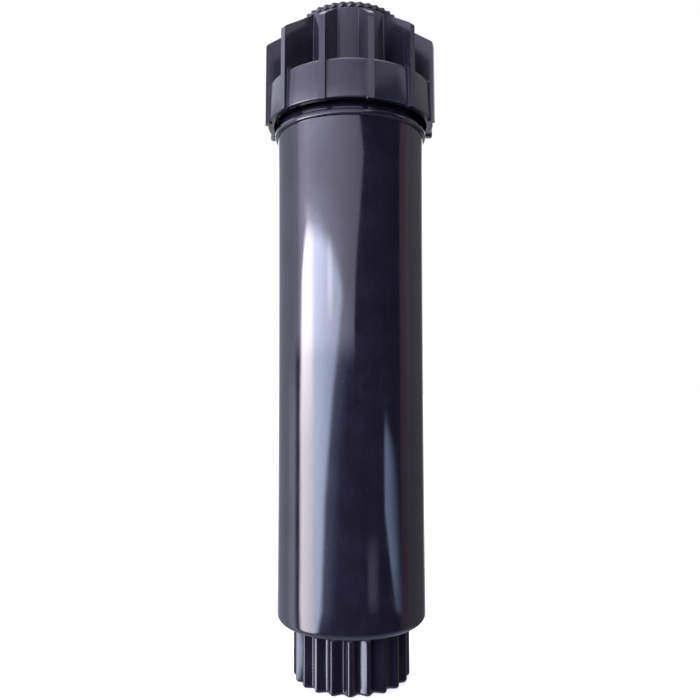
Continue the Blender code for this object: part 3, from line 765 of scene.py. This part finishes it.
class Finish:
    """A Principled material whose colour, roughness and relief come from layers of noise."""

    def __init__(self, name, roughness, **sockets):
        self.material = bpy.data.materials.new(name)
        self.material.use_nodes = True
        self.tree = self.material.node_tree
        self.shader = self.tree.nodes["Principled BSDF"]
        self.shader.inputs["Roughness"].default_value = roughness
        for socket, value in sockets.items():
            self.shader.inputs[socket.replace("_", " ")].default_value = value
        self.coords = self.tree.nodes.new("ShaderNodeTexCoord").outputs["Object"]
        self.relief = None

    def link(self, a, b):
        self.tree.links.new(a, b)

    def stretched(self, scale):
        """The coordinates in centimetres, stretched by these factors."""
        node = self.tree.nodes.new("ShaderNodeMapping")
        node.inputs["Scale"].default_value = [100.0 * s for s in scale]
        self.link(self.coords, node.inputs["Vector"])
        return node.outputs["Vector"]

    def noise(self, scale, detail=2.0, stretch=(1, 1, 1), rough=0.5):
        node = self.tree.nodes.new("ShaderNodeTexNoise")
        node.inputs["Scale"].default_value = scale
        node.inputs["Detail"].default_value = detail
        node.inputs["Roughness"].default_value = rough
        self.link(self.stretched(stretch), node.inputs["Vector"])
        return node.outputs["Fac"]

    def specks(self, scale, size, stretch=(1, 1, 1)):
        """1 inside small scattered dots."""
        node = self.tree.nodes.new("ShaderNodeTexVoronoi")
        node.inputs["Scale"].default_value = scale
        self.link(self.stretched(stretch), node.inputs["Vector"])
        dot = self.ranged(node.outputs["Distance"], size, size * 0.5, 0.0, 1.0)
        pick = self.tree.nodes.new("ShaderNodeSeparateColor")
        self.link(node.outputs["Color"], pick.inputs["Color"])
        keep = self.ranged(pick.outputs["Red"], 0.72, 0.8, 0.0, 1.0)
        return self.maths("MULTIPLY", dot, keep)

    def rings(self, scale, distortion, direction="Z", detail=2.0):
        node = self.tree.nodes.new("ShaderNodeTexWave")
        node.wave_type = "BANDS"
        node.bands_direction = direction
        node.inputs["Scale"].default_value = scale
        node.inputs["Distortion"].default_value = distortion
        node.inputs["Detail"].default_value = detail
        self.link(self.stretched((1, 1, 1)), node.inputs["Vector"])
        return node.outputs["Fac"]

    def ranged(self, value, low, high, to_low, to_high):
        node = self.tree.nodes.new("ShaderNodeMapRange")
        node.interpolation_type = "SMOOTHSTEP"
        self.link(value, node.inputs["Value"])
        for socket, number in zip(("From Min", "From Max", "To Min", "To Max"), (low, high, to_low, to_high)):
            node.inputs[socket].default_value = number
        return node.outputs["Result"]

    def maths(self, kind, a, b):
        node = self.tree.nodes.new("ShaderNodeMath")
        node.operation = kind
        for socket, value in zip(node.inputs, (a, b)):
            if isinstance(value, (int, float)):
                socket.default_value = value
            else:
                self.link(value, socket)
        return node.outputs[0]

    def blend(self, share, a, b):
        """a where share is 0 and b where it is 1. Each is a colour, or another blend's output."""
        node = self.tree.nodes.new("ShaderNodeMix")
        node.data_type = "RGBA"
        self.link(share, node.inputs["Factor"])
        for socket, value in ((node.inputs[6], a), (node.inputs[7], b)):
            if isinstance(value, tuple):
                socket.default_value = (*value, 1.0)
            else:
                self.link(value, socket)
        return node.outputs[2]

    def colour(self, output):
        self.link(output, self.shader.inputs["Base Color"])

    def gloss(self, output):
        self.link(output, self.shader.inputs["Roughness"])

    def bump(self, height, strength, distance):
        """Adds relief: distance is in millimetres."""
        node = self.tree.nodes.new("ShaderNodeBump")
        node.inputs["Strength"].default_value = strength
        node.inputs["Distance"].default_value = distance * MM
        self.link(height, node.inputs["Height"])
        if self.relief:
            self.link(self.relief, node.inputs["Normal"])
        self.relief = node.outputs["Normal"]
        self.link(self.relief, self.shader.inputs["Normal"])


def shade_of(colour, factor):
    return tuple(min(1.0, c * factor) for c in colour)


def plastic(name, colour, roughness, spread, grain, waves, dust=0.5, lines=0.0):
    """Moulded black plastic: cloudy tone, uneven gloss, a fine skin, draw lines along Z, and a little dust."""
    made = Finish(name, roughness, IOR=1.5)
    cloud = made.noise(1.1, 4.0, rough=0.6)
    fine = made.noise(42.0, 3.0)
    streak = made.noise(9.0, 3.0, (1, 1, 0.06), 0.6)
    dots = made.specks(5.0, 0.055)
    tone = made.blend(made.ranged(cloud, 0.3, 0.7, 0.0, 1.0), shade_of(colour, 0.8), shade_of(colour, 1.22))
    tone = made.blend(made.ranged(streak, 0.42, 0.72, 0.0, 0.35), tone, shade_of(colour, 1.6))
    tone = made.blend(made.maths("MULTIPLY", dots, dust), tone, (0.16, 0.155, 0.15))
    made.colour(tone)
    uneven = made.maths("ADD", made.ranged(cloud, 0.25, 0.75, -spread, spread), roughness)
    uneven = made.maths("ADD", uneven, made.ranged(fine, 0.3, 0.7, -spread * 0.5, spread * 0.5))
    uneven = made.maths("ADD", uneven, made.maths("MULTIPLY", dots, 0.25))
    made.gloss(uneven)
    if waves:
        made.bump(made.noise(2.4, 1.0, (1, 1, 0.35)), 1.0, waves)
    if lines:
        made.bump(streak, 1.0, lines)
    made.bump(fine, 1.0, grain)
    made.bump(dots, 0.6, 0.01)
    return made.material


def rubber(name):
    made = Finish(name, 0.62, IOR=1.5)
    fine = made.noise(60.0, 4.0)
    cloud = made.noise(2.0, 4.0)
    dots = made.specks(9.0, 0.08)
    tone = made.blend(made.ranged(cloud, 0.3, 0.7, 0.0, 1.0), (0.009, 0.009, 0.010), (0.019, 0.019, 0.020))
    made.colour(made.blend(made.maths("MULTIPLY", dots, 0.5), tone, (0.12, 0.115, 0.11)))
    made.gloss(made.ranged(fine, 0.25, 0.75, 0.52, 0.72))
    made.bump(fine, 1.0, 0.02)
    return made.material


def acetal(name, colour):
    made = Finish(name, 0.4, IOR=1.48, Subsurface_Weight=0.12, Subsurface_Scale=0.002)
    cloud = made.noise(1.6, 4.0)
    fine = made.noise(50.0, 3.0)
    flow = made.noise(6.0, 3.0, (1, 1, 0.12))
    tone = made.blend(made.ranged(cloud, 0.3, 0.7, 0.0, 1.0), shade_of(colour, 0.9), shade_of(colour, 1.05))
    made.colour(made.blend(made.ranged(flow, 0.5, 0.8, 0.0, 0.25), tone, shade_of(colour, 0.78)))
    made.gloss(made.ranged(fine, 0.3, 0.7, 0.33, 0.48))
    made.bump(fine, 1.0, 0.008)
    return made.material


def steel(name, colour, roughness, along):
    """Drawn or turned steel. along stretches the scratches."""
    made = Finish(name, roughness, Metallic=1.0)
    scratch = made.noise(30.0, 4.0, along, 0.6)
    cloud = made.noise(3.0, 3.0)
    tone = made.blend(made.ranged(scratch, 0.35, 0.7, 0.0, 1.0), shade_of(colour, 1.08), shade_of(colour, 0.8))
    made.colour(made.blend(made.ranged(cloud, 0.55, 0.8, 0.0, 0.5), tone, shade_of(colour, 0.68)))
    made.gloss(made.ranged(scratch, 0.3, 0.7, roughness - 0.08, roughness + 0.12))
    made.bump(scratch, 1.0, 0.006)
    return made.material


case_plastic = plastic("case_plastic_fine", (0.0105, 0.0093, 0.0165), 0.075, 0.03, 0.0006, 0.012, 0.35, 0.0012)
cap_plastic = plastic("cap_plastic_fine", (0.0185, 0.0170, 0.0250), 0.180, 0.04, 0.0022, 0.0, 0.35, 0.0)
collar_plastic = plastic("collar_plastic_fine", (0.0170, 0.0160, 0.0225), 0.28, 0.05, 0.0035, 0.0, 0.3, 0.0)
nozzle_plastic = plastic("nozzle_plastic_fine", (0.0170, 0.0165, 0.0200), 0.34, 0.05, 0.0035, 0.0, 0.3, 0.0)
riser_plastic = plastic("riser_plastic_fine", (0.0150, 0.0140, 0.0195), 0.14, 0.03, 0.0008, 0.006, 0.25, 0.0020)
filter_plastic = plastic("filter_plastic_fine", (0.0200, 0.0195, 0.0220), 0.42, 0.06, 0.0050, 0.0, 0.2, 0.0)
retainer_plastic = plastic("retainer_plastic_fine", (0.0420, 0.0415, 0.0450), 0.40, 0.06, 0.0050, 0.0, 0.2, 0.0)
seal_rubber = rubber("seal_rubber_fine")
gasket_rubber = rubber("gasket_rubber_fine")
washer_acetal = acetal("washer_acetal_fine", (0.70, 0.70, 0.66))
guide_acetal = acetal("guide_acetal_fine", (0.74, 0.74, 0.70))
spring_steel = steel("spring_steel_fine", (0.60, 0.60, 0.58), 0.26, (0.4, 0.4, 1.6))
screw_steel = steel("screw_steel_fine", (0.60, 0.60, 0.58), 0.28, (1, 1, 3))
screen_steel = steel("screen_mesh_fine", (0.46, 0.47, 0.48), 0.38, (2, 2, 2))

for made, body, node, slot, material in (
    (case_body, "case", "case_body", "case_plastic", case_plastic),
    (cap, "cap", "cap", "cap_plastic", cap_plastic),
    (arc_collar, "arc_collar", "arc_collar", "collar_plastic", collar_plastic),
    (deflector, "riser", "deflector", "nozzle_plastic", nozzle_plastic),
    (radius_screw, "radius_screw", "radius_screw", "screw_steel", screw_steel),
    (nozzle_base, "riser", "nozzle_base", "nozzle_plastic", nozzle_plastic),
    (nozzle_washer, "riser", "nozzle_washer", "gasket_rubber", gasket_rubber),
    (collar_o_ring, "arc_collar", "collar_o_ring", "gasket_rubber", gasket_rubber),
    (riser_stem, "riser", "riser_stem", "riser_plastic", riser_plastic),
    (ratchet_guide, "guide", "ratchet_guide", "guide_acetal", guide_acetal),
    (riser_ratchet, "riser", "riser_ratchet", "guide_acetal", guide_acetal),
    (filter_frame, "riser", "filter_frame", "filter_plastic", filter_plastic),
    (filter_screen, "riser", "filter_screen", "screen_mesh", screen_steel),
    (throttle_nut, "throttle", "throttle_nut", "guide_acetal", guide_acetal),
    (wiper_seal, "seal_pack", "wiper_seal", "seal_rubber", seal_rubber),
    (seal_retainer, "seal_pack", "seal_retainer", "retainer_plastic", retainer_plastic),
    (cap_gasket, "seal_pack", "cap_gasket", "gasket_rubber", gasket_rubber),
    (upper_spring_washer, "seal_pack", "upper_spring_washer", "washer_acetal", washer_acetal),
    (lower_spring_washer, "guide", "lower_spring_washer", "washer_acetal", washer_acetal),
    (retract_spring, "seal_pack", "retract_spring", "spring_steel", spring_steel),
):
    fit(made, body, node, material)
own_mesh(retract_spring)

# ------------------------------------------------------------------------------------------------------
# floor, studio light and camera
# ------------------------------------------------------------------------------------------------------
floor_mesh = bpy.data.meshes.new("floor")
floor_mesh.from_pydata([(-6, -6, 0), (6, -6, 0), (6, 6, 0), (-6, 6, 0)], [], [(0, 1, 2, 3)])
floor = bpy.data.objects.new("floor", floor_mesh)
bpy.context.scene.collection.objects.link(floor)
floor.location = (0.0, 0.0, -0.0002)
pale = bpy.data.materials.new("pale_floor")
pale.use_nodes = True
pale_shader = pale.node_tree.nodes["Principled BSDF"]
pale_shader.inputs["Base Color"].default_value = (0.7, 0.7, 0.7, 1.0)
pale_shader.inputs["Roughness"].default_value = 0.9
pale_shader.inputs["Specular IOR Level"].default_value = 0.0
pale_shader.inputs["Emission Color"].default_value = (1.0, 1.0, 1.0, 1.0)
pale_shader.inputs["Emission Strength"].default_value = 0.62
floor_mesh.materials.append(pale)
floor.visible_glossy = False
floor.visible_diffuse = False

# The studio: a bright window of light low on the left, a broad grey card above it, and dim walls. It is painted on
# the world by direction, as bearing (0 is the camera's side, positive to the right) and elevation, in degrees.
world = bpy.data.worlds.new("studio")
bpy.context.scene.world = world
world.use_nodes = True
tree = world.node_tree
tree.nodes.clear()


def node(kind, *inputs, **settings):
    made = tree.nodes.new(kind)
    for key, value in settings.items():
        setattr(made, key, value)
    for socket, value in zip(made.inputs, inputs):
        if value is None:
            continue
        if hasattr(value, "is_output"):
            tree.links.new(value, socket)
        else:
            socket.default_value = value
    return made.outputs[0]


def maths(kind, *values):
    return node("ShaderNodeMath", *values, operation=kind)


def step(value, low, high, smooth=True):
    """0 at low and 1 at high. The limits may be outputs too."""
    top = maths("SUBTRACT", value, low)
    span = maths("SUBTRACT", high, low)
    share = node("ShaderNodeMath", top, span, operation="DIVIDE", use_clamp=True)
    if not smooth:
        return share
    square = maths("MULTIPLY", share, share)
    return maths("MULTIPLY", square, maths("SUBTRACT", 3.0, maths("MULTIPLY", share, 2.0)))


def ramp(value, *points):
    """A line through (value, result) points."""
    total = None
    for (x0, y0), (x1, y1) in zip(points, points[1:]):
        part = maths("MULTIPLY", step(value, x0, x1, False), y1 - y0)
        total = maths("ADD", part, points[0][1] if total is None else total)
    return total


def times(*values):
    total = values[0]
    for value in values[1:]:
        total = maths("MULTIPLY", total, value)
    return total


def tinted(strength, colour):
    return node("ShaderNodeVectorMath", colour, None, None, strength, operation="SCALE")


direction = tree.nodes.new("ShaderNodeTexCoord").outputs["Generated"]
split_xyz = tree.nodes.new("ShaderNodeSeparateXYZ")
tree.links.new(direction, split_xyz.inputs[0])
to_x, to_y, to_z = split_xyz.outputs
bearing = maths("MULTIPLY", maths("ARCTAN2", to_x, maths("MULTIPLY", to_y, -1.0)), 360 / TAU)
rise = maths("MULTIPLY", maths("ARCSINE", to_z), 360 / TAU)

bright_edge = ramp(rise, (-30, -60), (-18, -47), (-9, -41), (-1, -29), (7, -13))
bright_top = ramp(
    bearing, (-90, 5), (-84, 8), (-80, 9.8), (-75, 11.8), (-70, 12.8), (-55, 12.6), (-42, 12.0), (-32, 11.3), (-22, 9.8), (-12, 8.2)
)
bright_start = ramp(rise, (-2, -84.5), (6, -81.5), (12, -80.0))
window = times(
    step(rise, maths("ADD", bright_top, 1.0), maths("SUBTRACT", bright_top, 1.6)),
    step(rise, -42.0, -26.0),
    step(bearing, maths("SUBTRACT", bright_start, 4.0), maths("ADD", bright_start, 4.0)),
    step(bearing, maths("ADD", bright_edge, 5.0), maths("SUBTRACT", bright_edge, 5.0)),
)
warm_side = times(
    window,
    step(bearing, -56.0, -64.0),
    ramp(bearing, (-88, 18), (-80, 20), (-72, 20), (-64, 18)),
    ramp(rise, (-20, 0.55), (-5, 0.68), (6, 1.08)),
)
blue_side = times(
    window,
    step(bearing, -64.0, -56.0),
    ramp(bearing, (-62, 14.0), (-50, 12.5), (-30, 8.5), (-12, 6)),
    ramp(rise, (-20, 0.66), (-5, 0.85), (4.5, 0.87), (7, 0.98), (12, 1.12)),
)
pane = times(window, step(bearing, -38.0, -33.5), step(bearing, -26.0, -30.0), step(rise, 4.0, 8.0), 5.0)
glow = times(
    step(rise, 9.0, 4.0),
    step(rise, -30.0, -14.0),
    step(bearing, maths("SUBTRACT", bright_edge, 6.0), bright_edge),
    step(bearing, maths("ADD", bright_edge, 28.0), bright_edge),
    1.3,
)
halo = times(
    step(rise, maths("ADD", bright_top, 6.5), maths("SUBTRACT", bright_top, 1.0)),
    step(rise, maths("SUBTRACT", bright_top, 3.0), bright_top),
    step(bearing, -86.0, -74.0),
    step(bearing, -4.0, -20.0),
    1.1,
)
card_edge = ramp(rise, (5, 5.6), (9, 7.0), (19, 22), (23, 36), (27.3, 41), (28.5, 60), (30, 82))
card_soft = ramp(rise, (18, 1.8), (24, 5))
card = times(
    step(rise, 1.8, 4.2),
    step(bearing, -102.0, -80.0),
    step(bearing, maths("ADD", card_edge, card_soft), maths("SUBTRACT", card_edge, card_soft)),
    ramp(bearing, (-95, 3.2), (-72, 4.4), (-40, 3.3), (-10, 2.6), (22, 1.6)),
    ramp(rise, (18, 1.0), (20.5, 0.86), (22.2, 0.52), (23.4, 0.56), (24.6, 0.50), (25.2, 0.50), (26.0, 0.57), (27.5, 0.53), (45, 0.45)),
)
sides = times(step(rise, -48.0, -30.0), ramp(rise, (-20, 0.85), (5, 1.0)))
left_wall = times(
    sides, step(bearing, -90.0, -98.0), ramp(bearing, (-180, 0.34), (-150, 0.45), (-120, 0.78), (-100, 1.25)),
    maths("ADD", 1.0, times(step(rise, 3.0, -3.0), step(bearing, -118.0, -102.0), 0.6)),
    maths("ADD", 1.0, times(step(rise, 20.0, 23.0), step(bearing, -160.0, -130.0), 1.05)),
)
fin_light = times(step(bearing, 20.0, 23.5), step(bearing, 32.0, 27.5), step(rise, 20.5, 22.5), step(rise, 32.0, 29.5), 1.4)
right_card = times(step(bearing, 71.0, 77.0), step(bearing, 94.0, 87.0), step(rise, 20.0, 22.5), step(rise, 36.0, 30.0), 1.05)
right_wall = times(
    sides, step(bearing, 92.0, 102.0), ramp(bearing, (95, 0.40), (115, 0.31), (141, 0.155), (180, 0.12)), ramp(rise, (-9, 0.8), (5, 1.0), (10, 1.0), (18.5, 1.2), (24, 1.6))
)
red_strip = times(
    sides, step(bearing, 78.5, 84.5), step(bearing, 104.0, 93.0), ramp(rise, (-12, 0.6), (0, 0.9), (10, 1.0), (18.5, 0.95), (20, 0.9), (22.5, 0.15))
)
streak_left = ramp(rise, (-18, 72), (-14, 60), (-10, 50), (-3, 50))
streak_right = ramp(rise, (-17, 87), (-8, 80), (-5, 73), (-2.5, 57))
streak = times(
    step(rise, -2.0, -4.5),
    ramp(rise, (-19, 0.0), (-17, 0.35), (-13, 0.95), (-9, 1.0)),
    step(bearing, streak_left, maths("ADD", streak_left, 4.0)),
    step(bearing, streak_right, maths("ADD", streak_left, 4.0)),
    3.0,
)
patch = times(step(bearing, 22.0, 28.0), step(bearing, 45.0, 34.0), step(rise, -11.5, -13.5), step(rise, -18.0, -15.5), 0.8)
overhead = times(step(rise, 38.0, 75.0), 1.3)
below = times(step(rise, -29.0, -48.0), 0.75)
back_card = times(step(maths("ABSOLUTE", bearing), 148.0, 160.0), step(rise, -30.0, 0.0), step(rise, 70.0, 40.0), 1.5)

total = None
for strength, colour in (
    (warm_side, (1.04, 0.97, 1.05)),
    (blue_side, (0.82, 0.93, 1.26)),
    (pane, (1.15, 0.90, 0.98)),
    (glow, (0.72, 0.84, 1.35)),
    (halo, (0.85, 0.92, 1.25)),
    (card, (0.98, 0.94, 1.20)),
    (fin_light, (0.98, 0.94, 1.20)),
    (right_card, (0.98, 0.94, 1.20)),
    (left_wall, (0.97, 1.0, 1.16)),
    (right_wall, (0.98, 0.98, 1.08)),
    (red_strip, (0.56, 0.30, 0.36)),
    (streak, (0.68, 0.88, 1.42)),
    (patch, (0.95, 0.85, 1.3)),
    (overhead, (1.0, 1.0, 1.05)),
    (below, (0.82, 0.88, 1.20)),
    (back_card, (0.95, 0.97, 1.10)),
):
    part = tinted(strength, colour)
    total = part if total is None else node("ShaderNodeVectorMath", total, part, operation="ADD")
ambient = tree.nodes.new("ShaderNodeVectorMath")
ambient.operation = "ADD"
tree.links.new(total, ambient.inputs[0])
ambient.inputs[1].default_value = (0.05, 0.05, 0.065)

seen = tree.nodes.new("ShaderNodeBackground")
seen.inputs["Color"].default_value = (1.0, 1.0, 1.0, 1.0)
seen.inputs["Strength"].default_value = 1.0
lit = tree.nodes.new("ShaderNodeBackground")
tree.links.new(ambient.outputs[0], lit.inputs["Color"])
both = tree.nodes.new("ShaderNodeMixShader")
tree.links.new(tree.nodes.new("ShaderNodeLightPath").outputs["Is Camera Ray"], both.inputs[0])
tree.links.new(lit.outputs[0], both.inputs[1])
tree.links.new(seen.outputs[0], both.inputs[2])
out = tree.nodes.new("ShaderNodeOutputWorld")
tree.links.new(both.outputs[0], out.inputs["Surface"])
world.cycles.sampling_method = "MANUAL"
world.cycles.sample_map_resolution = 1024

camera = bpy.data.objects.new("camera", bpy.data.cameras.new("camera"))
bpy.context.scene.collection.objects.link(camera)
camera.data.sensor_width = 36.0
camera.data.lens = 36.28
camera.data.clip_start = 0.01
camera.data.clip_end = 50.0
camera.location = (-0.000235, -0.1951, 0.0774)
aim = Matrix.Rotation(math.radians(92.95), 4, "X") @ Matrix.Rotation(math.radians(-0.127), 4, "Z")
camera.rotation_euler = aim.to_euler()
bpy.context.scene.camera = camera
bpy.context.scene.view_settings.view_transform = "Standard"
bpy.context.scene.view_settings.look = "None"
